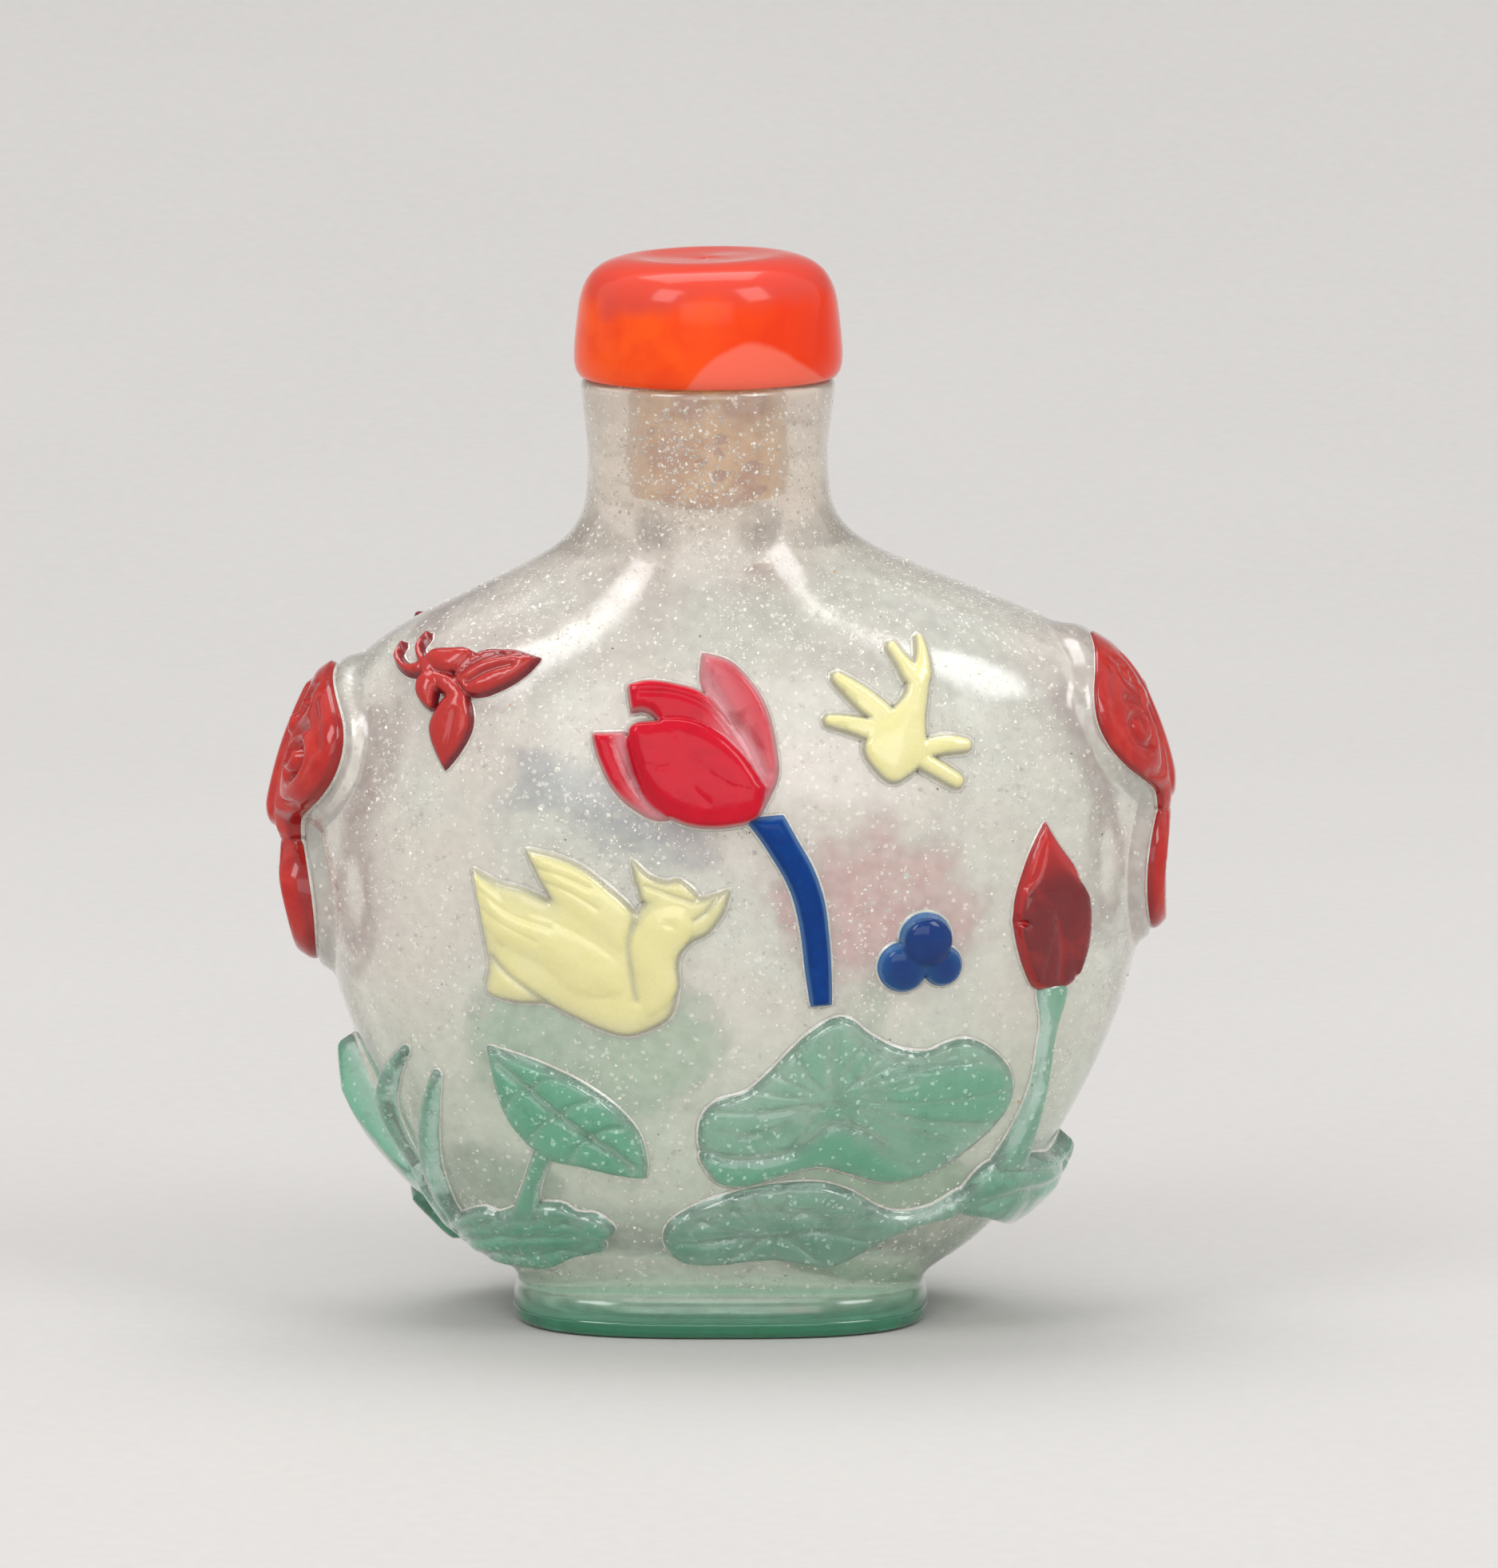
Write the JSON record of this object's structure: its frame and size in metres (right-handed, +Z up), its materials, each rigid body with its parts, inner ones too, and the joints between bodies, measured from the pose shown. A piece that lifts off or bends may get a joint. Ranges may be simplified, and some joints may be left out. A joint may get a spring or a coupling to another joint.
{
  "type": "snuff bottle",
  "caption": "Flattened hollow glass bottle with coloured glass reliefs of a lotus pond, mask-and-ring handles on its sides, an oval foot and a capped cork stopper.",
  "frame": {"origin": "centre of the foot ring's underside, on the surface the bottle stands on", "axes": "+Z up along the height, +Y out of the plainer back (the shortest way through), so the decorated front looks along -Y, +X to the right of someone facing the front"},
  "size_m": [0.0605, 0.0311, 0.0702],
  "materials": {
    "snow_glass": "cloudy clear glass full of white flecks, polished",
    "green_glass": "see-through green glass, carved and polished",
    "red_glass": "brick red glass, carved, semi-gloss",
    "ruby_glass": "ruby glass, carved and polished",
    "blue_glass": "cobalt blue glass, polished",
    "yellow_glass": "pale yellow opaque glass, carved, semi-gloss",
    "coral": "polished, coral coloured",
    "cork": "raw cork"
  },
  "bodies": {
    "root": {"bottle_body": "snow_glass", "foot_rim": "green_glass", "stopper_cap": "coral", "stopper_cork": "cork", "mask_handle_left": "red_glass", "mask_handle_right": "red_glass", "butterfly": "red_glass", "lotus_flower": "ruby_glass", "flower_stem": "blue_glass", "goldfish": "yellow_glass", "bird": "yellow_glass", "berry_cluster": "blue_glass", "lotus_bud": "red_glass", "bud_plant": "green_glass", "lotus_leaf": "green_glass", "left_plant": "green_glass", "back_lotus_flower": "ruby_glass", "back_stem_plant": "green_glass", "back_fish": "blue_glass", "back_lotus_leaf": "green_glass", "back_side_leaf": "green_glass", "back_moth": "red_glass"}
  },
  "joints": []
}
